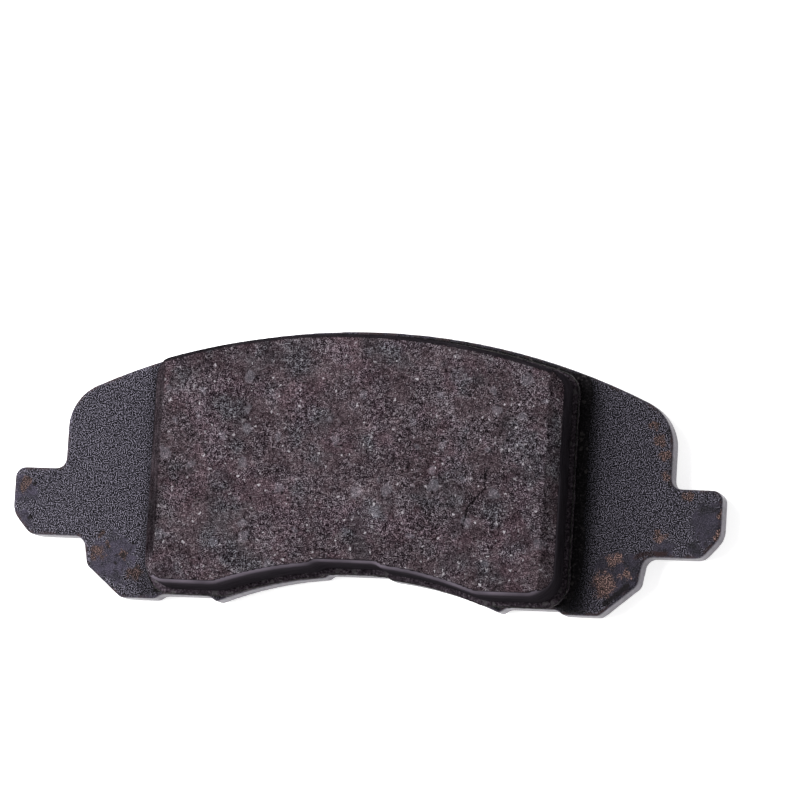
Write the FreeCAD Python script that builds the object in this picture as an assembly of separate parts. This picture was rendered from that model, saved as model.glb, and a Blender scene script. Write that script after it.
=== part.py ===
import FreeCAD, Part
import math
import os

# A disc brake pad lying on its back. Millimetres, +Z up and normal to the friction face.
# X runs along the pad and Y towards the outer edge of the disc. The outline is drawn with Y = 0 at the
# feet, and every solid is then moved down by half the height, so that the origin is the middle of the box.

LENGTH = 137.8
HEIGHT = 52.3

# Thickness of the layers, from the floor up.
OUTER_RUBBER = 0.1
STEEL_CORE = 0.5
INNER_RUBBER = 0.1
SHIM_ADHESIVE = 0.1
PLATE = 5.5
BOND = 0.1
UNDERLAYER = 1.9
FRICTION = 9.0

Z_PLATE = OUTER_RUBBER + STEEL_CORE + INNER_RUBBER + SHIM_ADHESIVE
Z_BOND = Z_PLATE + PLATE
Z_UNDERLAYER = Z_BOND + BOND
Z_FRICTION = Z_UNDERLAYER + UNDERLAYER
Z_TOP = Z_FRICTION + FRICTION

# Arcs of the plate. Their centres lie on X = 0.
TOP_RADIUS = 128.4
TOP_CENTRE = HEIGHT - TOP_RADIUS
BOTTOM_RADIUS = 70.9
BOTTOM_CENTRE = -65.45

# Ears, body and feet of the plate.
EAR_TOP = 24.4
EAR_BOTTOM = 11.4
EAR_CHAMFER = (3.6, 4.2)
BODY_X = 59.0
LEG_TOP_X = 54.5
LEG_FOOT_X = 53.6
LEG_FOOT_Y = 6.0
FOOT_X = 46.5
NOTCH_X = (28.9, 38.4)
NOTCH_RAMP = 1.3
NOTCH_DEPTH = 0.9
MIDDLE_NOTCH_X = 5.7
MIDDLE_NOTCH_Y = 5.9
PLATE_EDGE = 0.4

# Friction material.
FRICTION_X = 39.95
FRICTION_DRAFT = math.radians(2.7)
FRICTION_TOP_GAP = 1.5
FRICTION_BOTTOM_GAP = 0.9
FRICTION_FOOT_Y = 1.8
FRICTION_MIDDLE_X = 5.8
FRICTION_MIDDLE_Y = 6.8
FRICTION_CORNER_TOP = 4.0
FRICTION_CORNER_BOTTOM = 5.0
FRICTION_LIP = 0.8
CHAMFER_WIDTH = 2.3
CHAMFER_DEPTH = 2.75
LEDGE = 1.0
LEDGE_BOTTOM = 0.9
BOND_MARGIN = 1.9
BOND_STEP_Y = 7.9

# Holes through the plate that key the friction material, and bosses that are half pierced out of its back.
KEY_HOLES = [(-17.0, 22.3), (17.0, 22.3)]
KEY_HOLE_RADIUS = 6.0
BOSSES = [(0.0, 13.8), (-31.0, 34.3), (31.0, 34.3)]
BOSS_RADIUS = 3.0
BOSS_HEIGHT = 0.75
DIMPLE_DEPTH = 1.2
BOSS_CLEARANCE = 0.2

# Shim.
SHIM_GAP = 1.6
SHIM_FOOT_Y = 1.8
SHIM_FOOT_X = 45.9
SHIM_LEG = (52.4, 7.6)
SHIM_SHOULDER = (57.3, 26.6)


def circle_y(x, centre, radius):
    return centre + math.sqrt(radius ** 2 - x ** 2)


def edge_between(start, end, z, centre):
    """A straight edge, or an arc about (0, centre) where a centre is given."""
    first = FreeCAD.Vector(start[0], start[1], z)
    last = FreeCAD.Vector(end[0], end[1], z)
    if centre is None:
        return Part.makeLine(first, last)
    hub = FreeCAD.Vector(0, centre, z)
    radius = (first - hub).Length
    towards = (first + last) * 0.5 - hub
    towards.normalize()
    return Part.Arc(first, hub + towards * radius, last).toShape()


def symmetric_wire(right_half, z, first_centre=None):
    """Closes the right half of an outline with its mirror image.

    right_half holds (x, y, centre) from the bottom up. centre is that of the arc to the next point, or
    None for a straight edge. The last point's edge crosses X = 0, and so does the edge of first_centre.
    """
    points = [(x, y) for x, y, _ in right_half]
    centres = [centre for _, _, centre in right_half]
    loop = points + [(-x, y) for x, y in reversed(points)]
    between = centres + centres[-2::-1] + [first_centre]
    edges = []
    for index, centre in enumerate(between):
        edges.append(edge_between(loop[index], loop[(index + 1) % len(loop)], z, centre))
    return Part.Wire(edges)


def prism(right_half, z, height, first_centre=None):
    face = Part.Face(symmetric_wire(right_half, z, first_centre))
    return face.extrude(FreeCAD.Vector(0, 0, height))


def round_corners(solid, corners):
    """Rounds the upright edges that start at each (x, y, radius), on both sides of X = 0."""
    for x, y, radius in corners:
        edges = []
        for edge in solid.Edges:
            low = min(edge.Vertexes, key=lambda vertex: vertex.Z)
            rises = edge.BoundBox.ZLength > 0.05 and edge.BoundBox.ZLength > 5 * edge.BoundBox.XLength
            if rises and abs(abs(low.X) - x) < 0.01 and abs(low.Y - y) < 0.01:
                edges.append(edge)
        solid = solid.makeFillet(radius, edges)
    return solid


def edges_on_plane(solid, z, keep):
    """The edges that lie in the plane z and whose middle point passes keep."""
    found = []
    for edge in solid.Edges:
        flat = abs(edge.BoundBox.ZMin - z) < 1e-4 and abs(edge.BoundBox.ZMax - z) < 1e-4
        if flat and keep(edge.CenterOfMass):
            found.append(edge)
    return found


def round_bars(places, radius, z, height):
    return [Part.makeCylinder(radius, height, FreeCAD.Vector(x, y, z)) for x, y in places]


def plate_outline():
    middle_end = MIDDLE_NOTCH_X + MIDDLE_NOTCH_Y - circle_y(MIDDLE_NOTCH_X, BOTTOM_CENTRE, BOTTOM_RADIUS)
    peak = math.sqrt(BOTTOM_RADIUS ** 2 - BOTTOM_CENTRE ** 2)
    return [
        (MIDDLE_NOTCH_X, MIDDLE_NOTCH_Y, None),
        (middle_end, circle_y(middle_end, BOTTOM_CENTRE, BOTTOM_RADIUS), BOTTOM_CENTRE),
        (peak, 0.0, None),
        (NOTCH_X[0] - NOTCH_RAMP, 0.0, None),
        (NOTCH_X[0], NOTCH_DEPTH, None),
        (NOTCH_X[1], NOTCH_DEPTH, None),
        (NOTCH_X[1] + NOTCH_RAMP, 0.0, None),
        (FOOT_X, 0.0, None),
        (LEG_FOOT_X, LEG_FOOT_Y, None),
        (LEG_TOP_X, EAR_BOTTOM, None),
        (LENGTH / 2 - EAR_CHAMFER[0], EAR_BOTTOM, None),
        (LENGTH / 2, EAR_BOTTOM + EAR_CHAMFER[1], None),
        (LENGTH / 2, EAR_TOP, None),
        (BODY_X, EAR_TOP, None),
        (BODY_X, circle_y(BODY_X, TOP_CENTRE, TOP_RADIUS), TOP_CENTRE),
    ]


def backing_plate():
    plate = round_corners(prism(plate_outline(), Z_PLATE, PLATE), [
        (FOOT_X, 0.0, 1.5),
        (LEG_FOOT_X, LEG_FOOT_Y, 1.5),
        (LEG_TOP_X, EAR_BOTTOM, 2.0),
        (LENGTH / 2 - EAR_CHAMFER[0], EAR_BOTTOM, 2.6),
        (LENGTH / 2, EAR_BOTTOM + EAR_CHAMFER[1], 4.0),
        (LENGTH / 2, EAR_TOP, 2.0),
        (BODY_X, EAR_TOP, 1.8),
        (BODY_X, circle_y(BODY_X, TOP_CENTRE, TOP_RADIUS), 9.0),
        (NOTCH_X[1] + NOTCH_RAMP, 0.0, 0.8),
        (NOTCH_X[0] - NOTCH_RAMP, 0.0, 0.8),
        (NOTCH_X[0], NOTCH_DEPTH, 0.8),
        (NOTCH_X[1], NOTCH_DEPTH, 0.8),
    ])
    for level in (Z_PLATE, Z_BOND):
        plate = plate.makeFillet(PLATE_EDGE, edges_on_plane(plate, level, lambda point: True))
    hollows = round_bars(KEY_HOLES, KEY_HOLE_RADIUS, Z_PLATE - 1, PLATE + 2)
    hollows += round_bars(BOSSES, BOSS_RADIUS, Z_BOND - DIMPLE_DEPTH, DIMPLE_DEPTH + 1)
    bosses = round_bars(BOSSES, BOSS_RADIUS, Z_PLATE - BOSS_HEIGHT, BOSS_HEIGHT + 1)
    return plate.cut(hollows).fuse(bosses).removeSplitter()


def friction_outline(grow):
    """Outline of the friction material, moved outwards by grow."""
    low = BOTTOM_RADIUS + FRICTION_BOTTOM_GAP - grow
    high = TOP_RADIUS - FRICTION_TOP_GAP + grow
    foot_y = FRICTION_FOOT_Y - grow
    middle_y = FRICTION_MIDDLE_Y - grow
    ramp_end = FRICTION_MIDDLE_X + 1.6 * (middle_y - circle_y(FRICTION_MIDDLE_X, BOTTOM_CENTRE, low))
    arc_end = math.sqrt(low ** 2 - (foot_y - BOTTOM_CENTRE) ** 2)
    side = FRICTION_X + grow
    return [
        (FRICTION_MIDDLE_X, middle_y, None),
        (ramp_end, circle_y(ramp_end, BOTTOM_CENTRE, low), BOTTOM_CENTRE),
        (arc_end, foot_y, None),
        (side, foot_y, None),
        (side, circle_y(side, TOP_CENTRE, high), TOP_CENTRE),
    ]


def friction_corners(outline):
    """Rounding of every corner of a friction outline: middle step, foot and both ends."""
    radii = (2.5, 2.5, 6.0, FRICTION_CORNER_BOTTOM, FRICTION_CORNER_TOP)
    return [(x, y, radius) for (x, y, _), radius in zip(outline, radii)]


def chamfer_wedge():
    """What the chamfer takes off the +X end."""
    inner = FRICTION_X - FRICTION * math.tan(FRICTION_DRAFT) - CHAMFER_WIDTH
    slope = CHAMFER_DEPTH / CHAMFER_WIDTH
    reach = 8.0
    points = [
        FreeCAD.Vector(inner, -5, Z_TOP),
        FreeCAD.Vector(inner + reach, -5, Z_TOP - reach * slope),
        FreeCAD.Vector(inner + reach, -5, Z_TOP + 1),
        FreeCAD.Vector(inner, -5, Z_TOP + 1),
    ]
    return Part.Face(Part.makePolygon(points + points[:1])).extrude(FreeCAD.Vector(0, HEIGHT + 10, 0))


def friction_block():
    base = friction_outline(0)
    top = friction_outline(-FRICTION * math.tan(FRICTION_DRAFT))
    wires = [symmetric_wire(base, Z_FRICTION), symmetric_wire(top, Z_TOP)]
    block = round_corners(Part.makeLoft(wires, True, True), friction_corners(base))
    lip = edges_on_plane(block, Z_TOP, lambda point: point.y < 9 and abs(point.x) < FRICTION_X - 5)
    block = block.makeFillet(FRICTION_LIP, lip)
    wedge = chamfer_wedge()
    other = wedge.mirror(FreeCAD.Vector(0, 0, 0), FreeCAD.Vector(1, 0, 0))
    return block.cut([wedge, other]).removeSplitter()


def underlayer():
    """The ledge, with the plugs that fill the keying holes and the dimples of the plate."""
    outline = friction_outline(LEDGE_BOTTOM)
    outline = [(x + (LEDGE - LEDGE_BOTTOM) * (x > FRICTION_X), y, centre) for x, y, centre in outline]
    outline[-1] = (outline[-1][0], circle_y(outline[-1][0], TOP_CENTRE, TOP_RADIUS - 1.1), TOP_CENTRE)
    ledge = round_corners(prism(outline, Z_UNDERLAYER, UNDERLAYER), friction_corners(outline))
    plugs = round_bars(KEY_HOLES, KEY_HOLE_RADIUS, Z_PLATE, PLATE + BOND)
    plugs += round_bars(BOSSES, BOSS_RADIUS, Z_BOND - DIMPLE_DEPTH, DIMPLE_DEPTH + BOND)
    return ledge.fuse(plugs).removeSplitter()


def bond_adhesive():
    """The film under the ledge, which reaches past it where it was squeezed out."""
    low = BOTTOM_RADIUS + 0.6
    high = TOP_RADIUS - 0.7
    foot_y = NOTCH_DEPTH + 0.5
    side = FRICTION_X + BOND_MARGIN
    arc_end = math.sqrt(low ** 2 - (foot_y - BOTTOM_CENTRE) ** 2)
    outline = [
        (arc_end, foot_y, None),
        (FRICTION_X - 0.2, foot_y, None),
        (FRICTION_X + 0.2, BOND_STEP_Y - 4.5, None),
        (side, BOND_STEP_Y, None),
        (side, circle_y(side, TOP_CENTRE, high), TOP_CENTRE),
    ]
    film = prism(outline, Z_BOND, BOND, BOTTOM_CENTRE)
    film = round_corners(film, [
        (FRICTION_X + 0.2, BOND_STEP_Y - 4.5, 2.0),
        (side, BOND_STEP_Y, 2.5),
        (side, circle_y(side, TOP_CENTRE, high), 4.0),
    ])
    holes = round_bars(KEY_HOLES, KEY_HOLE_RADIUS, Z_BOND - 1, BOND + 2)
    holes += round_bars(BOSSES, BOSS_RADIUS, Z_BOND - 1, BOND + 2)
    return film.cut(holes)


def shim_layer(z, thickness):
    low = BOTTOM_RADIUS + SHIM_GAP
    high = TOP_RADIUS - SHIM_GAP
    arc_end = math.sqrt(low ** 2 - (SHIM_FOOT_Y - BOTTOM_CENTRE) ** 2)
    shoulder_x, shoulder_y = SHIM_SHOULDER
    outline = [
        (arc_end, SHIM_FOOT_Y, None),
        (SHIM_FOOT_X, SHIM_FOOT_Y, None),
        (SHIM_LEG[0], SHIM_LEG[1], None),
        (shoulder_x, shoulder_y, None),
        (shoulder_x, circle_y(shoulder_x, TOP_CENTRE, high), TOP_CENTRE),
    ]
    layer = round_corners(prism(outline, z, thickness, BOTTOM_CENTRE), [
        (arc_end, SHIM_FOOT_Y, 2.0),
        (SHIM_FOOT_X, SHIM_FOOT_Y, 1.5),
        (SHIM_LEG[0], SHIM_LEG[1], 1.5),
        (shoulder_x, shoulder_y, 3.0),
        (shoulder_x, circle_y(shoulder_x, TOP_CENTRE, high), 7.5),
    ])
    return layer.cut(round_bars(BOSSES, BOSS_RADIUS + BOSS_CLEARANCE, z - 1, thickness + 2))


def save(name, solid):
    solid.translate(FreeCAD.Vector(0, -HEIGHT / 2, 0))
    solid.exportStep("parts/" + name + ".step")


os.makedirs("parts", exist_ok=True)
save("backing_plate", backing_plate())
save("bond_adhesive", bond_adhesive())
save("underlayer", underlayer())
save("friction_block", friction_block())
save("shim_outer_rubber", shim_layer(0, OUTER_RUBBER))
save("shim_steel_core", shim_layer(OUTER_RUBBER, STEEL_CORE))
save("shim_inner_rubber", shim_layer(OUTER_RUBBER + STEEL_CORE, INNER_RUBBER))
save("shim_adhesive", shim_layer(Z_PLATE - SHIM_ADHESIVE, SHIM_ADHESIVE))
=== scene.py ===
import math

import bmesh
import bpy
import numpy as np
from mathutils import Matrix, Vector, noise
from mathutils.bvhtree import BVHTree


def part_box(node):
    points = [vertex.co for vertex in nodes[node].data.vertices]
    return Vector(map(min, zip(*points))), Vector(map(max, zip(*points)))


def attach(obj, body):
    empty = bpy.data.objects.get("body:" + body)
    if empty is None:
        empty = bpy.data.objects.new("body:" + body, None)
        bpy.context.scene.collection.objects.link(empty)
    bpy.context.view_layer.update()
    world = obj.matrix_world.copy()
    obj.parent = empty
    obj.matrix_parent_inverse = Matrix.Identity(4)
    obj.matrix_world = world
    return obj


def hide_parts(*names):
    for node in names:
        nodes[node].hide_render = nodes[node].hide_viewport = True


# A disc brake pad on a pale floor. Metres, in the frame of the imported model: the pad lies on its shim, its
# friction face is up, X runs along it and Y towards the outer edge of the disc.

MM = 0.001

# ---- camera: far off with a long lens, and turned a little from straight above the pad ----
CAMERA_DISTANCE = 1.11
CAMERA_TO_RIGHT = math.radians(14.1)
CAMERA_TO_FEET = math.radians(6.75)
CAMERA_ROLL = math.radians(3.47)
AIM_ABOVE_PAD = 0.0389
AIM_RIGHT_OF_PAD = 0.00823
LENS_MM = 265.5

# ---- how finely the pieces are meshed ----
VOXEL = 0.32 * MM
PLATE_VOXEL = 0.40 * MM
RING_STEP = 0.20 * MM
RING_RAYS = 1440

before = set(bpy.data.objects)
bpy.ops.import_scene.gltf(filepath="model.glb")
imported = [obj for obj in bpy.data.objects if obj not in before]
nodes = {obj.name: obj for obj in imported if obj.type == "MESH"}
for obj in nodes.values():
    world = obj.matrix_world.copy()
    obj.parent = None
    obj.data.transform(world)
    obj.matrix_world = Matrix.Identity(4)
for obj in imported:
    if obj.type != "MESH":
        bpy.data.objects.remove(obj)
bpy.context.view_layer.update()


# ======================================================================== materials


class Tree:
    """One material and its node tree. Every texture is laid out in millimetres of the pad's frame."""

    def __init__(self, name):
        self.material = bpy.data.materials.new(name)
        self.material.use_nodes = True
        self.nodes = self.material.node_tree.nodes
        self.links = self.material.node_tree.links
        self.shader = self.nodes["Principled BSDF"]
        place = self.nodes.new("ShaderNodeTexCoord").outputs["Object"]
        self.place = self.vector("SCALE", place, 1 / MM)

    def plug(self, socket, value):
        if isinstance(value, bpy.types.NodeSocket):
            self.links.new(value, socket)
        elif socket.type == "RGBA":
            socket.default_value = (*value, 1.0)
        else:
            socket.default_value = value

    def vector(self, operation, first, second):
        node = self.nodes.new("ShaderNodeVectorMath")
        node.operation = operation
        self.plug(node.inputs[0], first)
        self.plug(node.inputs["Scale"] if operation == "SCALE" else node.inputs[1], second)
        return node.outputs["Value" if operation in ("DISTANCE", "DOT_PRODUCT") else "Vector"]

    def math(self, operation, first, second=0.0):
        node = self.nodes.new("ShaderNodeMath")
        node.operation = operation
        self.plug(node.inputs[0], first)
        self.plug(node.inputs[1], second)
        return node.outputs[0]

    def step(self, value, low, high):
        """0 below low, 1 above high, smooth between them. low may be the larger one."""
        node = self.nodes.new("ShaderNodeMapRange")
        node.interpolation_type = "SMOOTHSTEP"
        self.plug(node.inputs["Value"], value)
        flip = low > high
        self.plug(node.inputs["From Min"], high if flip else low)
        self.plug(node.inputs["From Max"], low if flip else high)
        self.plug(node.inputs["To Min"], 1.0 if flip else 0.0)
        self.plug(node.inputs["To Max"], 0.0 if flip else 1.0)
        return node.outputs[0]

    def stretched(self, stretch, shift=(0, 0, 0)):
        scaled = self.vector("MULTIPLY", self.place, stretch)
        return self.vector("ADD", scaled, shift)

    def noise(self, size, detail=2.0, roughness=0.5, stretch=(1, 1, 1), shift=(0, 0, 0)):
        """Noise whose features are about size millimetres across."""
        node = self.nodes.new("ShaderNodeTexNoise")
        self.plug(node.inputs["Vector"], self.stretched(stretch, shift))
        self.plug(node.inputs["Scale"], 1.0 / size)
        self.plug(node.inputs["Detail"], detail)
        self.plug(node.inputs["Roughness"], roughness)
        return node.outputs[0]

    def cells(self, size, stretch=(1, 1, 1), shift=(0, 0, 0), place=None):
        """Cells about size millimetres apart in plan: distance to the nearest middle, and a random colour."""
        node = self.nodes.new("ShaderNodeTexVoronoi")
        node.voronoi_dimensions = "2D"
        self.plug(node.inputs["Vector"], place or self.stretched(stretch, shift))
        self.plug(node.inputs["Scale"], 1.0 / size)
        return node.outputs["Distance"], node.outputs["Color"]

    def channel(self, colour, index):
        node = self.nodes.new("ShaderNodeSeparateColor")
        self.plug(node.inputs[0], colour)
        return node.outputs[index]

    def mix(self, factor, first, second):
        node = self.nodes.new("ShaderNodeMix")
        node.data_type = "RGBA"
        self.plug(node.inputs[0], factor)
        self.plug(node.inputs[6], first)
        self.plug(node.inputs[7], second)
        return node.outputs[2]

    def ramp(self, value, stops):
        """A colour from a list of (position, colour)."""
        node = self.nodes.new("ShaderNodeValToRGB")
        self.plug(node.inputs[0], value)
        elements = node.color_ramp.elements
        while len(elements) < len(stops):
            elements.new(0.5)
        for element, (position, colour) in zip(elements, stops):
            element.position = position
            element.color = (*colour, 1.0)
        return node.outputs[0]

    def multiply(self, colour, tint):
        return self.vector("MULTIPLY", colour, tint)

    def product(self, *values):
        result = values[0]
        for value in values[1:]:
            result = self.math("MULTIPLY", result, value)
        return result

    def fade(self, factor, first, second):
        """A number that goes from first to second as factor goes from 0 to 1."""
        node = self.nodes.new("ShaderNodeMix")
        self.plug(node.inputs[0], factor)
        self.plug(node.inputs[2], first)
        self.plug(node.inputs[3], second)
        return node.outputs[0]

    def blend(self, parts):
        """Adds noises by their weights round a middle of 0.5."""
        total = 0.5
        for value, weight in parts:
            total = self.math("ADD", total, self.product(self.math("SUBTRACT", value, 0.5), weight))
        return total

    def wobble(self, size, reach):
        """The place on the pad, moved about by up to reach millimetres."""
        node = self.nodes.new("ShaderNodeTexNoise")
        self.plug(node.inputs["Vector"], self.place)
        self.plug(node.inputs["Scale"], 1.0 / size)
        about = self.vector("SUBTRACT", node.outputs["Color"], (0.5, 0.5, 0.5))
        return self.vector("ADD", self.place, self.vector("SCALE", about, 2 * reach))

    def attribute(self, name):
        node = self.nodes.new("ShaderNodeAttribute")
        node.attribute_name = name
        return node.outputs["Fac"]

    def facing(self, axis):
        """How far the surface looks along an axis, from -1 to 1."""
        normal = self.nodes.new("ShaderNodeNewGeometry").outputs["Normal"]
        return self.vector("DOT_PRODUCT", normal, axis)

    def bump(self, height, depth):
        """Relief of depth millimetres from a height of 0 to 1, under any relief given before."""
        node = self.nodes.new("ShaderNodeBump")
        self.plug(node.inputs["Height"], height)
        self.plug(node.inputs["Distance"], depth * MM)
        earlier = self.shader.inputs["Normal"]
        if earlier.is_linked:
            self.plug(node.inputs["Normal"], earlier.links[0].from_socket)
        self.plug(earlier, node.outputs[0])

    def finish(self, colour, roughness, metallic=0.0, specular=0.5):
        self.plug(self.shader.inputs["Base Color"], colour)
        self.plug(self.shader.inputs["Roughness"], roughness)
        self.plug(self.shader.inputs["Metallic"], metallic)
        self.plug(self.shader.inputs["Specular IOR Level"], specular)
        return self.material


def dots(tree, size, share, radius, shift, ragged):
    """Scattered ragged dots: one in a share of the cells, about radius cells across."""
    place = tree.vector("ADD", tree.wobble(0.45 * size, ragged * size), shift)
    distance, kind = tree.cells(size, place=place)
    chosen = tree.step(tree.channel(kind, 0), 1 - share - 0.01, 1 - share + 0.01)
    reach = tree.product(radius, tree.fade(tree.channel(kind, 1), 0.5, 1.3))
    return tree.product(chosen, tree.step(tree.math("SUBTRACT", distance, reach), 0.05, -0.05))


# Places on the pad, in millimetres from the middle and above the feet. Spots also have a radius.
WORN_SPOTS = [
    (-48.6, 7.2, 6.4), (-67.0, 20.0, 4.0), (-66.5, 14.5, 2.4),
    (50.0, 7.6, 6.6), (58.5, 12.6, 2.6), (64.0, 13.0, 2.2), (66.8, 18.0, 5.6),
]
RUST_SPOTS = [
    (-43.7, 4.9, 2.2), (-51.5, 8.5, 2.2), (-50.8, 12.3, 1.3), (-49.4, 9.9, 0.9), (-46.3, 8.1, 1.4),
    (-66.2, 21.4, 1.7), (-67.3, 20.2, 1.2),
    (47.2, 6.0, 3.3), (48.9, 10.4, 2.1), (51.2, 7.9, 1.6), (57.4, 15.3, 1.9),
    (55.1, 36.2, 1.3), (56.6, 33.2, 1.6), (57.6, 30.2, 1.5), (57.9, 26.6, 1.6),
    (62.3, 23.2, 1.3), (68.6, 20.0, 1.1), (68.6, 15.4, 1.5),
]
PIT_SPOTS = [
    (-46.3, 8.1, 0.8), (-47.8, 6.5, 0.6), (-44.5, 10.5, 0.6), (-49.4, 9.6, 0.4),
    (-64.8, 21.1, 0.7), (-65.3, 14.7, 0.7),
]
GOUGE = [(47.7, 2.4), (51.7, 5.9)]
SEAM = [(53.1, 11.3), (54.2, 12.0), (58.6, 12.2)]
CRACK = [(26.2, 25.7), (25.9, 21.9), (24.4, 20.4), (22.9, 18.3), (22.2, 14.6)]


def above_feet(tree, place):
    """A place in plan, measured like the places above: from the middle and up from the feet."""
    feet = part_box("backing_plate")[0].y / MM
    return tree.vector("SUBTRACT", tree.vector("MULTIPLY", place, (1, 1, 0)), (0, feet, 0))


def near_spots(tree, spots, place):
    """1 in the middle of the nearest spot and 0 at its edge and beyond."""
    flat = above_feet(tree, place)
    nearest = 0.0
    for x, y, radius in spots:
        reach = tree.math("DIVIDE", tree.vector("DISTANCE", flat, (x, y, 0)), radius)
        nearest = tree.math("MAXIMUM", nearest, tree.math("SUBTRACT", 1.0, reach))
    return nearest


def near_line(tree, line, reach, place):
    """1 on a line of straight runs and 0 at reach millimetres from it and beyond."""
    flat = above_feet(tree, place)
    nearest = 0.0
    for start, end in zip(line, line[1:]):
        run = Vector((*end, 0)) - Vector((*start, 0))
        away = tree.vector("SUBTRACT", flat, (*start, 0))
        share = tree.vector("DOT_PRODUCT", away, run / run.length_squared)
        share = tree.math("MINIMUM", tree.math("MAXIMUM", share, 0.0), 1.0)
        distance = tree.vector("DISTANCE", away, tree.vector("SCALE", tuple(run), share))
        near = tree.math("SUBTRACT", 1.0, tree.math("DIVIDE", distance, reach))
        nearest = tree.math("MAXIMUM", nearest, near)
    return nearest


def friction_matrix(tree, coarse, patch):
    """The matrix between the grains: its tone, and its colour from brown through mauve to a cool grey."""
    fine = tree.noise(0.24, 1.0, 0.6)
    drift = tree.noise(13.0, 2.0, shift=(5, 23, 2))
    lively = tree.step(tree.noise(4.5, 3.0, 0.6, shift=(8, 8, 8)), 0.40, 0.60)
    grit = tree.blend([(fine, 2.0), (coarse, 1.3)])
    calmed = tree.product(tree.math("SUBTRACT", grit, 0.5), tree.fade(lively, 0.68, 1.26))
    tone = tree.math("ADD", calmed, tree.blend([(patch, 0.55), (drift, 0.30)]))
    matrix = tree.ramp(tone, [
        (0.12, (0.0050, 0.0036, 0.0044)),
        (0.34, (0.0270, 0.0198, 0.0242)),
        (0.52, (0.0530, 0.0405, 0.0485)),
        (0.70, (0.1020, 0.0820, 0.0960)),
        (0.92, (0.2500, 0.2150, 0.2420)),
    ])
    hue = tree.noise(8.0, 3.0, 0.6, shift=(2, 41, 9))
    cast = tree.noise(11.0, 3.0, 0.6, shift=(17, 5, 3))
    brown = tree.mix(lively, tree.multiply(matrix, (1.04, 0.98, 0.95)), matrix)
    mauve = tree.mix(tree.step(hue, 0.50, 0.40), brown, tree.multiply(brown, (1.05, 0.97, 1.00)))
    cool = tree.mix(tree.step(cast, 0.48, 0.62), mauve, tree.multiply(mauve, (0.88, 1.01, 1.00)))
    return tone, cool


def friction_grains(tree, matrix, patch):
    """Pale blotches, round grains, bright flakes and short fibres in the matrix."""
    blotch = dots(tree, 5.2, 0.42, 0.17, (3, 9, 1), 0.22)
    bleached = tree.vector("ADD", tree.multiply(matrix, (1.15, 1.18, 1.20)), (0.044, 0.044, 0.050))
    blotched = tree.mix(tree.product(blotch, 0.9), matrix, bleached)
    grains = dots(tree, 0.85, 0.22, 0.20, (1, 4, 7), 0.45)
    grained = tree.mix(tree.product(grains, 0.50), blotched, (0.160, 0.140, 0.158))
    flakes = tree.product(dots(tree, 1.40, 0.30, 0.13, (6, 2, 3), 0.40), tree.step(patch, 0.36, 0.60))
    flaked = tree.mix(tree.product(flakes, 0.9), grained, (0.420, 0.390, 0.420))
    fibre, pick = tree.cells(1.0, stretch=(0.45, 2.8, 1.0), shift=(4, 8, 2))
    strand = tree.product(tree.step(tree.channel(pick, 2), 0.88, 0.92), tree.step(fibre, 0.32, 0.15))
    return tree.mix(tree.product(strand, 0.5), flaked, (0.17, 0.150, 0.160))


def friction_holes(tree, coarse):
    """Where the face has a pit, a pinhole or the crack, which is broken up by the coarse grain."""
    pits = dots(tree, 1.20, 0.28, 0.14, (9, 5, 4), 0.40)
    pinholes = dots(tree, 0.50, 0.14, 0.16, (2, 7, 6), 0.40)
    split = tree.step(near_line(tree, CRACK, 0.26, tree.wobble(0.8, 0.55)), 0.05, 0.65)
    broken = tree.product(split, tree.step(coarse, 0.38, 0.50))
    return tree.math("MAXIMUM", tree.math("MAXIMUM", pits, broken), tree.product(pinholes, 0.8))


def friction_grain(tree):
    """The ground face: a mottled matrix with grains and holes. Gives its tone, for relief, and its colour."""
    coarse = tree.noise(0.7, 3.0, 0.65, shift=(11, 3, 5))
    patch = tree.noise(2.6, 3.0, 0.6, shift=(31, 7, 2))
    tone, matrix = friction_matrix(tree, coarse, patch)
    grained = friction_grains(tree, matrix, patch)
    holed = friction_holes(tree, coarse)
    return tone, tree.mix(tree.product(holed, 0.92), grained, (0.003, 0.002, 0.0025))


def friction_material():
    tree = Tree("friction")
    tone, ground = friction_grain(tree)
    skin = tree.attribute("skin")
    lip_highlight = tree.attribute("lip_highlight")
    streaks = tree.noise(0.8, 3.0, 0.6, stretch=(0.2, 0.2, 1.6))
    wall = tree.ramp(streaks, [(0.3, (0.0065, 0.0053, 0.0068)), (0.7, (0.0220, 0.0188, 0.0228))])
    # The pale colour on the front lip is a painted highlight.
    moulded = tree.mix(lip_highlight, wall, (0.128, 0.108, 0.134))
    scrape = tree.blend([(tree.noise(0.8, 3.0, 0.6, stretch=(1, 0.2, 1)), 1.0), (tone, 0.25)])
    scraped = tree.ramp(scrape, [
        (0.30, (0.0080, 0.0060, 0.0074)),
        (0.55, (0.0270, 0.0208, 0.0250)),
        (0.80, (0.0780, 0.0640, 0.0740)),
    ])
    # The slanted ends take the darker scraped grain; the -X end takes much more of it, as painted shade.
    worn = tree.mix(tree.attribute("ramp"), ground, scraped)
    # Painted shade darkens the -X end of the block.
    worn = tree.vector("SCALE", worn, tree.fade(tree.attribute("shade"), 1.0, 0.40))
    # Painted shade along the break from the ground face into the moulded skin.
    crease_shade = tree.product(tree.step(skin, 0.05, 0.45), tree.step(skin, 0.98, 0.60))
    crease_shaded = tree.mix(tree.product(crease_shade, 0.8), tree.mix(skin, worn, moulded), (0.006, 0.005, 0.006))
    tree.bump(tree.product(tone, tree.math("SUBTRACT", 1.0, skin)), 0.12)
    tree.bump(tree.product(streaks, skin), 0.03)
    roughness = tree.fade(skin, 0.85, 0.7)
    return tree.finish(crease_shaded, roughness, specular=0.0)


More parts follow.
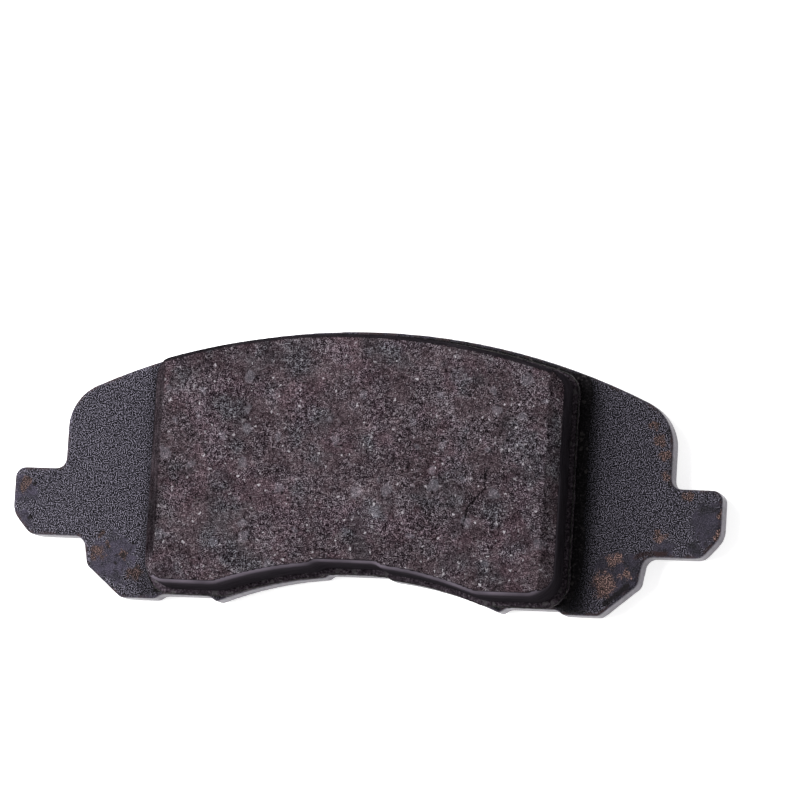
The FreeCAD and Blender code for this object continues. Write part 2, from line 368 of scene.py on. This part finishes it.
def coat_over_plate(tree, coat_and_glints, east, front):
    """The coat as it varies over the plate: a random drift in tone, painted shade that darkens it towards +X,
    and painted shadow close to the two ends of the block.
    """
    block_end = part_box("bond_adhesive")[1].x / MM
    drift = tree.noise(14.0, 2.0)
    # Painted shade, darker towards +X; the drift is a random tone.
    shaded = tree.fade(tree.step(east, -10, 60), 0.95, 0.75)
    dust_and_shade = tree.product(tree.fade(tree.step(drift, 0.3, 0.7), 0.88, 1.0), shaded)
    patchy = tree.vector("SCALE", coat_and_glints, dust_and_shade)
    # Painted shadow of the block's +X end on the coat beside it.
    beside = tree.product(tree.step(east, block_end + 4.5, block_end), tree.step(east, -1, 0), front)
    shadowed_beside_block = tree.mix(beside, patchy, tree.multiply(patchy, (0.12, 0.12, 0.13)))
    # Painted shadow in the nook at the block's -X end.
    nook = tree.product(tree.step(east, -block_end - 2.2, -block_end), tree.step(east, 1, 0), front)
    return tree.mix(tree.product(nook, 0.45), shadowed_beside_block, (0.004, 0.003, 0.004))


def plate_sides(tree):
    """The punched sides of the plate, streaked along its thickness."""
    streaks = tree.noise(0.7, 3.0, 0.6, stretch=(1, 1, 0.25), shift=(7, 3, 1))
    return tree.ramp(streaks, [(0.35, (0.044, 0.036, 0.052)), (0.70, (0.128, 0.108, 0.144))])


def worn_coat(tree, coat_and_glints, mottle, east):
    """The coat where it is rubbed smooth: cloudy, with a trace of the wrinkles, and darkened towards +X by
    painted shade.
    """
    clouds = tree.blend([(mottle, 1.0), (tree.noise(2.6, 3.0, 0.6, shift=(1, 6, 2)), 1.2)])
    polished = tree.ramp(clouds, [(0.22, (0.0008, 0.0006, 0.0020)), (0.72, (0.0440, 0.0370, 0.0600))])
    # Painted shade, darker towards +X.
    shade = tree.fade(tree.step(east, -10, 50), 0.92, 0.58)
    return tree.vector("SCALE", tree.vector("ADD", polished, tree.vector("SCALE", coat_and_glints, 0.08)), shade)


def rust_colour(tree, coat_and_glints, speck, east):
    grainy = tree.vector("ADD", tree.multiply(coat_and_glints, (0.95, 0.63, 0.46)), (0.022, 0.0125, 0.0090))
    # Painted shade: the rust is darker towards -X.
    shade_to_left = tree.fade(tree.step(east, -60, 40), 0.55, 1.0)
    return tree.vector("SCALE", tree.mix(tree.step(speck, 0.30, 0.55), (0.012, 0.006, 0.006), grainy), shade_to_left)


def edge_rust(tree):
    """Where the rim of the plate has a brown line."""
    along_rim = tree.noise(2.2, 3.0, 0.6, shift=(6, 1, 1))
    return tree.product(tree.attribute("rim"), tree.step(along_rim, 0.46, 0.58))


def plate_holes(tree, smooth, ragged):
    """Where the coat is pitted: small chips in the smooth patches, the larger pits and the gouge."""
    chips = tree.product(dots(tree, 1.5, 0.35, 0.16, (4, 4, 9), 0.6), smooth)
    near_pit = near_spots(tree, PIT_SPOTS, ragged)
    near_gouge = near_line(tree, GOUGE, 0.75, ragged)
    deep = tree.step(tree.math("MAXIMUM", near_pit, near_gouge), 0.05, 0.60)
    return tree.math("MAXIMUM", tree.product(chips, 0.7), deep)


def plate_material():
    """Wrinkled black powder coat with painted glints on its wrinkles, worn smooth in places and at its edges,
    with rusty patches, painted shade and painted shadow beside the block.
    """
    tree = Tree("powder_coat")
    wrinkle = tree.blend([(tree.noise(0.21, 0.0), 3.8), (tree.noise(0.40, 0.0, shift=(5, 1, 9)), 0.5)])
    mottle = tree.noise(0.9, 4.0, 0.7, shift=(3, 12, 6))
    speck = tree.noise(0.30, 3.0, 0.7, shift=(8, 2, 4))
    ragged = tree.wobble(0.5, 0.5)
    east = tree.vector("DOT_PRODUCT", tree.place, (1, 0, 0))
    up = tree.facing((0, 0, 1))
    front = tree.step(up, 0.35, 0.85)
    flat = tree.step(tree.math("ABSOLUTE", up), 0.35, 0.85)

    near_worn = near_spots(tree, WORN_SPOTS, tree.wobble(2.2, 2.5))
    smooth = tree.step(tree.blend([(near_worn, 1.0), (mottle, 0.9)]), 0.12, 0.40)
    worn = tree.math("MAXIMUM", smooth, tree.attribute("rim"))
    near_rust = near_spots(tree, RUST_SPOTS, tree.wobble(1.6, 2.0))
    rusty = tree.product(tree.step(tree.blend([(speck, 0.9), (near_rust, 1.1)]), 0.14, 0.60), front)
    seam = tree.product(tree.step(near_line(tree, SEAM, 0.65, ragged), 0.0, 0.7), front)
    pitted = tree.product(plate_holes(tree, smooth, ragged), front)

    # Painted glints and shade: the wrinkle crests are painted light and the hollows dark on the black coat.
    coat_and_glints = tree.ramp(wrinkle, [
        (0.00, (0.0002, 0.0002, 0.0004)),
        (0.36, (0.0055, 0.0048, 0.0085)),
        (0.56, (0.0430, 0.0388, 0.0560)),
        (1.00, (0.3700, 0.3430, 0.4300)),
    ])
    coated = tree.mix(flat, plate_sides(tree), coat_over_plate(tree, coat_and_glints, east, front))
    rubbed = tree.mix(tree.product(worn, flat, 0.94), coated, worn_coat(tree, coat_and_glints, mottle, east))
    browned = tree.mix(tree.product(edge_rust(tree), flat, 0.7), rubbed, (0.042, 0.021, 0.019))
    seamed = tree.mix(tree.product(seam, 0.75), browned, (0.022, 0.008, 0.007))
    stained = tree.mix(tree.product(rusty, 0.9), seamed, rust_colour(tree, coat_and_glints, speck, east))
    chipped = tree.mix(tree.product(pitted, 0.9), stained, (0.0035, 0.0020, 0.0028))

    tree.bump(tree.product(wrinkle, tree.fade(worn, 1.0, 0.12), tree.fade(flat, 0.12, 1.0)), 0.22)
    tree.bump(tree.product(mottle, worn, flat), 0.10)
    roughness = tree.fade(rusty, tree.fade(flat, 0.34, tree.fade(worn, 0.30, 0.80)), 0.75)
    return tree.finish(chipped, roughness, specular=0.22)


def underlayer_material():
    tree = Tree("underlayer")
    grain = tree.noise(0.4, 3.0, 0.6)
    lump, kind = tree.cells(1.6, place=tree.wobble(1.0, 0.8))
    matrix = tree.ramp(grain, [
        (0.32, (0.0080, 0.0055, 0.0078)),
        (0.54, (0.0500, 0.0385, 0.0490)),
        (0.76, (0.1600, 0.1350, 0.1580)),
    ])
    pale = tree.product(tree.step(tree.channel(kind, 0), 0.66, 0.74), tree.step(lump, 0.42, 0.22))
    colour = tree.mix(tree.product(pale, 0.6), matrix, (0.110, 0.103, 0.108))
    tree.bump(grain, 0.15)
    return tree.finish(colour, 0.8, specular=0.02)


def bond_material():
    tree = Tree("bond")
    grain = tree.noise(0.35, 3.0, 0.6)
    lump, kind = tree.cells(1.3, place=tree.wobble(1.0, 0.8))
    matrix = tree.ramp(grain, [
        (0.40, (0.0028, 0.0024, 0.0030)),
        (0.60, (0.0130, 0.0110, 0.0132)),
        (0.76, (0.0600, 0.0520, 0.0560)),
    ])
    pale = tree.product(tree.step(tree.channel(kind, 0), 0.70, 0.80), tree.step(lump, 0.30, 0.12))
    colour = tree.mix(tree.product(pale, 0.5), matrix, (0.080, 0.072, 0.072))
    tree.bump(grain, 0.20)
    return tree.finish(colour, 0.65, specular=0.08)


def fin_material():
    tree = Tree("mould_fin")
    grain = tree.noise(1.4, 4.0, 0.7)
    colour = tree.ramp(grain, [(0.46, (0.003, 0.003, 0.003)), (0.68, (0.060, 0.052, 0.049))])
    tree.bump(grain, 0.05)
    return tree.finish(colour, 0.5, specular=0.3)


def rubber_material():
    """Smooth black rubber with a fine grain, dusty areas and scuffs along the shim."""
    tree = Tree("shim_rubber")
    grain = tree.noise(0.35, 3.0, 0.6)
    drift = tree.noise(12.0, 3.0)
    scuffs = tree.step(tree.noise(0.7, 3.0, 0.6, stretch=(0.08, 1, 1), shift=(3, 3, 3)), 0.60, 0.72)
    black = tree.ramp(grain, [(0.3, (0.010, 0.010, 0.011)), (0.7, (0.036, 0.036, 0.038))])
    dust_and_shade = tree.mix(tree.product(tree.step(drift, 0.45, 0.70), 0.5), black, (0.060, 0.057, 0.055))
    colour = tree.mix(tree.product(scuffs, 0.5), dust_and_shade, (0.100, 0.098, 0.096))
    tree.bump(grain, 0.02)
    return tree.finish(colour, tree.fade(drift, 0.5, 0.7), specular=0.4)


def steel_material():
    tree = Tree("shim_steel")
    rolled = tree.noise(0.3, 3.0, 0.6, stretch=(0.05, 1, 1))
    colour = tree.ramp(rolled, [(0.3, (0.33, 0.33, 0.34)), (0.7, (0.55, 0.55, 0.56))])
    tree.bump(rolled, 0.01)
    return tree.finish(colour, 0.35, metallic=1.0)


def glue_material():
    tree = Tree("shim_glue")
    cloudy = tree.noise(1.5, 3.0)
    colour = tree.ramp(cloudy, [(0.3, (0.30, 0.22, 0.11)), (0.7, (0.45, 0.36, 0.20))])
    return tree.finish(colour, 0.3)


# ======================================================================== pieces


def new_piece(name, mesh, slot, material, *replaced):
    piece = bpy.data.objects.new(name, mesh)
    bpy.context.scene.collection.objects.link(piece)
    mesh.materials.clear()
    mesh.materials.append(material)
    mesh.polygons.foreach_set("use_smooth", [True] * len(mesh.polygons))
    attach(piece, "root")
    if replaced:
        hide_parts(*replaced)
    return piece


def remeshed(node, voxel):
    """A finely and evenly meshed copy of a CAD node."""
    weld_distance = 1e-7
    welded = bmesh.new()
    welded.from_mesh(nodes[node].data)
    bmesh.ops.remove_doubles(welded, verts=welded.verts, dist=weld_distance)
    mesh = bpy.data.meshes.new(node + "_copy")
    welded.to_mesh(mesh)
    welded.free()
    copy = bpy.data.objects.new(node + "_copy", mesh)
    bpy.context.scene.collection.objects.link(copy)
    modifier = copy.modifiers.new("voxels", "REMESH")
    modifier.mode = "VOXEL"
    modifier.voxel_size = voxel
    smooth = copy.modifiers.new("smooth", "SMOOTH")
    smooth.factor = 0.5
    smooth.iterations = 6
    bpy.context.view_layer.update()
    evaluated = copy.evaluated_get(bpy.context.evaluated_depsgraph_get())
    result = bpy.data.meshes.new_from_object(evaluated)
    bpy.data.objects.remove(copy)
    bpy.data.meshes.remove(mesh)
    return result


def points_and_normals(mesh):
    points = np.empty(len(mesh.vertices) * 3)
    mesh.vertices.foreach_get("co", points)
    normals = np.empty(len(mesh.vertices) * 3)
    mesh.vertex_normals.foreach_get("vector", normals)
    return points.reshape(-1, 3), normals.reshape(-1, 3)


def rough(points, size, octaves=3, shift=0.0):
    """Noise from about -1 to 1 at every point, with features of about size metres."""
    offset = Vector((shift, shift, shift))
    return np.array([noise.fractal(Vector(p) / size + offset, 0.9, 2.0, octaves) for p in points])


def smoothstep(value, low, high):
    t = np.clip((value - low) / (high - low), 0, 1)
    return t * t * (3 - 2 * t)


def paint(mesh, name, values):
    layer = mesh.attributes.new(name, "FLOAT", "POINT")
    layer.data.foreach_set("value", np.asarray(values, np.float32))


def paint_friction_masks(mesh, points, normals):
    """Paints where the block is moulded skin, painted lip highlight, slanted end (darker at -X by painted
    shade) or in painted shade, each from 0 to 1.

    The ground face takes in the two slanted ends, down to their foot. The rest is moulded skin.
    """
    low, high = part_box("friction_block")
    below_slant = high.z - 3.2 * MM
    endwards = np.abs(normals[:, 0]) / (np.abs(normals[:, 0]) + np.abs(normals[:, 1]) + 0.02)
    slack = smoothstep(endwards, 0.55, 0.80)
    ground = smoothstep(normals[:, 2] + 0.42 * slack, 0.955, 0.985)
    ground *= smoothstep(points[:, 2], below_slant, below_slant + 0.4 * MM)
    skin = 1 - ground

    # The -X slanted end is weighted towards the darker scraped grain as painted shade; the +X end barely.
    upper = smoothstep(points[:, 1], low.y + 3.5 * MM, low.y + 7.0 * MM)
    slanted_and_shaded = ground * smoothstep(np.abs(normals[:, 0]), 0.25, 0.60)
    slanted_and_shaded *= np.where(points[:, 0] > 0, 0.15, 0.80 * upper)
    # Painted shade near the -X end of the block, deeper towards -Y.
    shade = smoothstep(points[:, 0], low.x + 5.2 * MM, low.x + 2.0 * MM) * upper
    shade *= 0.35 + 0.65 * smoothstep(points[:, 1], low.y + 24 * MM, low.y + 14 * MM)

    # Painted highlight on the front lip: lighter where it faces up, only on the -Y side.
    rounding = 0.1 + 0.9 * smoothstep(normals[:, 2], 0.0, 0.85)
    lip_highlight = skin * rounding * smoothstep(points[:, 2], high.z - 5.0 * MM, high.z - 0.8 * MM)
    lip_highlight *= smoothstep(points[:, 1], 0.0, -2.0 * MM) * (0.85 + 0.50 * rough(points, 6.0 * MM, 2))
    paint(mesh, "skin", skin)
    paint(mesh, "lip_highlight", lip_highlight)
    paint(mesh, "ramp", slanted_and_shaded)
    paint(mesh, "shade", shade)
    return skin


def friction_piece():
    mesh = remeshed("friction_block", VOXEL)
    points, normals = points_and_normals(mesh)
    skin = paint_friction_masks(mesh, points, normals)
    relief = 0.05 * MM * rough(points, 1.1 * MM) + 0.04 * MM * rough(points, 0.5 * MM, 2, 9.0)
    relief *= 1 - 0.85 * skin
    points += normals * relief[:, None]
    mesh.vertices.foreach_set("co", points.ravel())
    return new_piece("friction_material", mesh, "friction", friction_material(), "friction_block")


def plate_piece():
    mesh = remeshed("backing_plate", PLATE_VOXEL)
    _, normals = points_and_normals(mesh)
    paint(mesh, "rim", smoothstep(np.abs(normals[:, 2]), 0.995, 0.90))
    return new_piece("coated_plate", mesh, "powder_coated_steel", plate_material(), "backing_plate")


def ledge_piece():
    mesh = remeshed("underlayer", VOXEL)
    points, normals = points_and_normals(mesh)
    plate_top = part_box("backing_plate")[1].z
    exposed = smoothstep(points[:, 2], plate_top + 0.1 * MM, plate_top + 0.5 * MM)
    relief = 0.16 * MM * rough(points, 1.3 * MM) + 0.07 * MM * rough(points, 0.5 * MM, 2, 9.0)
    points += normals * (relief * exposed)[:, None]
    mesh.vertices.foreach_set("co", points.ravel())
    return new_piece("underlayer_ledge", mesh, "underlayer", underlayer_material(), "underlayer")


def outline(node, height, count):
    """Points and outward normals round a CAD node at a height, found by looking in from all round."""
    reach = 0.2
    mesh = nodes[node].data
    polygons = [polygon.vertices for polygon in mesh.polygons]
    surface = BVHTree.FromPolygons([vertex.co for vertex in mesh.vertices], polygons)
    points = []
    normals = []
    for index in range(count):
        angle = 2 * math.pi * index / count
        inwards = Vector((-math.cos(angle), -math.sin(angle), 0))
        start = Vector((0, 0, height)) - reach * inwards
        point, normal, _, _ = surface.ray_cast(start, inwards)
        points.append(point)
        normals.append(normal)
    return np.array(points), np.array(normals)


def evenly(points, normals, step):
    """The same closed path with points a step apart and its normals smoothed."""
    smoothing_rounds = 4
    closed = np.vstack([points, points[:1]])
    along = np.concatenate([[0], np.cumsum(np.linalg.norm(np.diff(closed, axis=0), axis=1))])
    places = np.arange(0, along[-1], along[-1] / round(along[-1] / step))
    around = np.vstack([normals, normals[:1]])
    new_points = np.stack([np.interp(places, along, closed[:, axis]) for axis in range(3)], axis=1)
    new_normals = np.stack([np.interp(places, along, around[:, axis]) for axis in range(3)], axis=1)
    for _ in range(smoothing_rounds):
        new_normals = (np.roll(new_normals, 1, axis=0) + new_normals + np.roll(new_normals, -1, axis=0)) / 3
    new_normals /= np.linalg.norm(new_normals, axis=1)[:, None]
    return new_points, new_normals


def ring_mesh(name, points, normals, section):
    """A closed ring swept along a path. section holds (outward, upward) offsets, one pair for each corner."""
    count = len(points)
    rows = []
    for outward, upward in section:
        row = points + normals * np.broadcast_to(outward, count)[:, None]
        row[:, 2] += upward
        rows.append(row)
    faces = []
    for corner in range(len(rows)):
        after = (corner + 1) % len(rows)
        for index in range(count):
            ahead = (index + 1) % count
            faces.append((corner * count + index, corner * count + ahead,
                          after * count + ahead, after * count + index))
    mesh = bpy.data.meshes.new(name)
    mesh.from_pydata(np.vstack(rows).tolist(), [], faces)
    fixed = bmesh.new()
    fixed.from_mesh(mesh)
    bmesh.ops.recalc_face_normals(fixed, faces=fixed.faces)
    fixed.to_mesh(mesh)
    fixed.free()
    return mesh


def flash_piece():
    """The adhesive that was squeezed out round the ledge: widest at the +X end."""
    plate_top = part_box("backing_plate")[1].z
    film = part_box("bond_adhesive")
    points, normals = evenly(*outline("bond_adhesive", (film[0].z + film[1].z) / 2, RING_RAYS), RING_STEP)
    points[:, 2] = plate_top
    end = smoothstep(normals[:, 0], 0.3, 0.9)
    edge = (0.1 + 1.0 * end) * MM
    edge += (0.12 + 0.3 * end) * MM * rough(points, 4 * MM) + 0.12 * MM * rough(points, 0.8 * MM, 2, 4.0)
    edge = np.maximum(edge, 0.05 * MM)
    thick = (0.24 + 0.10 * rough(points, 2.0 * MM, 3, 7.0) + 0.06 * rough(points, 0.6 * MM, 2, 3.0)) * MM
    hidden = -1.6 * MM
    foot = 0.02 * MM
    section = [(hidden, foot), (hidden, 0.12 * MM), (-0.7 * MM, thick)]
    slope = [(0.35, 0.9), (0.7, 0.7), (0.95, 0.35)]
    section += [(edge * outward, thick * upward) for outward, upward in slope]
    section.append((edge, foot))
    mesh = ring_mesh("bond_flash", points, normals, section)
    return new_piece("bond_flash", mesh, "bond", bond_material())


def fin_piece():
    """The thin ragged fin that the mould left on the rim of the ledge."""
    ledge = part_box("underlayer")[1].z
    points, normals = evenly(*outline("underlayer", ledge - 0.3 * MM, RING_RAYS), RING_STEP)
    points[:, 2] = ledge
    end = smoothstep(np.abs(normals[:, 0]), 0.3, 0.9)
    ragged = 0.06 + 0.16 * rough(points, 2 * MM) + 0.08 * rough(points, 0.5 * MM, 2, 5.0)
    height = np.clip(ragged * end - 0.2 * (1 - end), -0.2, 0.3) * MM
    lean = 0.06 * MM * rough(points, 1.5 * MM, 2, 8.0)
    root = -0.25 * MM
    section = [(-0.16 * MM, root), (lean - 0.12 * MM, height), (lean, height), (0.06 * MM, root)]
    mesh = ring_mesh("mould_fin", points, normals, section)
    return new_piece("mould_fin", mesh, "underlayer", fin_material())


def finish_cad_nodes():
    finishes = {
        "bond_adhesive": bond_material(),
        "shim_adhesive": glue_material(),
        "shim_inner_rubber": rubber_material(),
        "shim_steel_core": steel_material(),
    }
    finishes["shim_outer_rubber"] = finishes["shim_inner_rubber"]
    for name, material in finishes.items():
        mesh = nodes[name].data
        mesh.materials.clear()
        mesh.materials.append(material)


# ======================================================================== studio


def add_camera():
    turn = Matrix.Rotation(CAMERA_TO_RIGHT, 4, "Y") @ Matrix.Rotation(CAMERA_TO_FEET, 4, "X")
    turn = turn @ Matrix.Rotation(CAMERA_ROLL, 4, "Z")
    plate_low, plate_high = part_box("backing_plate")
    feet = Vector((0, plate_low.y, plate_high.z))
    data = bpy.data.cameras.new("camera")
    data.lens = LENS_MM
    data.sensor_width = 36.0
    data.clip_start = 0.05
    camera = bpy.data.objects.new("camera", data)
    offset = Vector((AIM_RIGHT_OF_PAD, AIM_ABOVE_PAD, CAMERA_DISTANCE))
    camera.matrix_world = Matrix.Translation(feet + turn.to_3x3() @ offset) @ turn
    bpy.context.scene.collection.objects.link(camera)
    bpy.context.scene.camera = camera


def add_floor():
    """A floor just under the shim, so that the two faces do not lie in one plane."""
    size = 3.0
    drop = -0.05 * MM
    mesh = bpy.data.meshes.new("floor")
    corners = [(-size, -size, drop), (size, -size, drop), (size, size, drop), (-size, size, drop)]
    mesh.from_pydata(corners, [], [(0, 1, 2, 3)])
    tree = Tree("floor")
    tree.finish((0.93, 0.93, 0.93), 0.9, specular=0.1)
    tree.shader.inputs["Emission Color"].default_value = (1.0, 1.0, 1.0, 1.0)
    tree.shader.inputs["Emission Strength"].default_value = 0.75
    mesh.materials.append(tree.material)
    floor = bpy.data.objects.new("floor", mesh)
    bpy.context.scene.collection.objects.link(floor)


def add_area_light(name, place, size, watts):
    data = bpy.data.lights.new(name, "AREA")
    data.shape = "SQUARE"
    data.size = size
    data.energy = watts
    light = bpy.data.objects.new(name, data)
    turn = Vector(place).to_track_quat("Z", "Y").to_matrix().to_4x4()
    light.matrix_world = Matrix.Translation(place) @ turn
    bpy.context.scene.collection.objects.link(light)


def add_lights():
    world = bpy.data.worlds.new("studio")
    world.use_nodes = True
    background = world.node_tree.nodes["Background"]
    background.inputs["Color"].default_value = (1.0, 1.0, 1.0, 1.0)
    background.inputs["Strength"].default_value = 0.30
    bpy.context.scene.world = world
    add_area_light("key", (-0.76, 0.18, 0.90), 0.9, 25.0)


bpy.context.scene.view_settings.view_transform = "Standard"
friction_piece()
plate_piece()
ledge_piece()
flash_piece()
fin_piece()
finish_cad_nodes()
add_floor()
add_lights()
add_camera()
